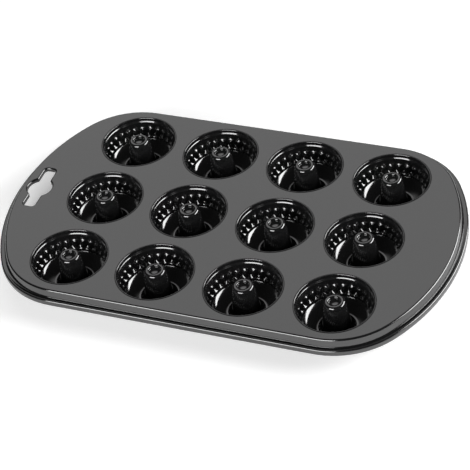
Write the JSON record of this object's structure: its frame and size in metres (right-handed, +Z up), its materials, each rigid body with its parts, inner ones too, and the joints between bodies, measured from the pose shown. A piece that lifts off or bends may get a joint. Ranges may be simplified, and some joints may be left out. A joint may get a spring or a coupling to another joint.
{
  "type": "muffin tin",
  "caption": "Rectangular coated-steel baking tin: fluted round cups, each with a hollow-topped centre tube, a stepped rim with a curled edge, and a hanging slot near an end.",
  "frame": {"origin": "centre of the outline, at the height of the surface that the cups stand on", "axes": "+Z up, out of the cups; X along the long side with the hanging slot at its negative end; Y along the short side"},
  "size_m": [0.3802, 0.2324, 0.0276],
  "materials": {
    "coated_steel": "semi-gloss non-stick coating"
  },
  "bodies": {
    "root": {"baking_tin": "coated_steel"}
  },
  "joints": []
}
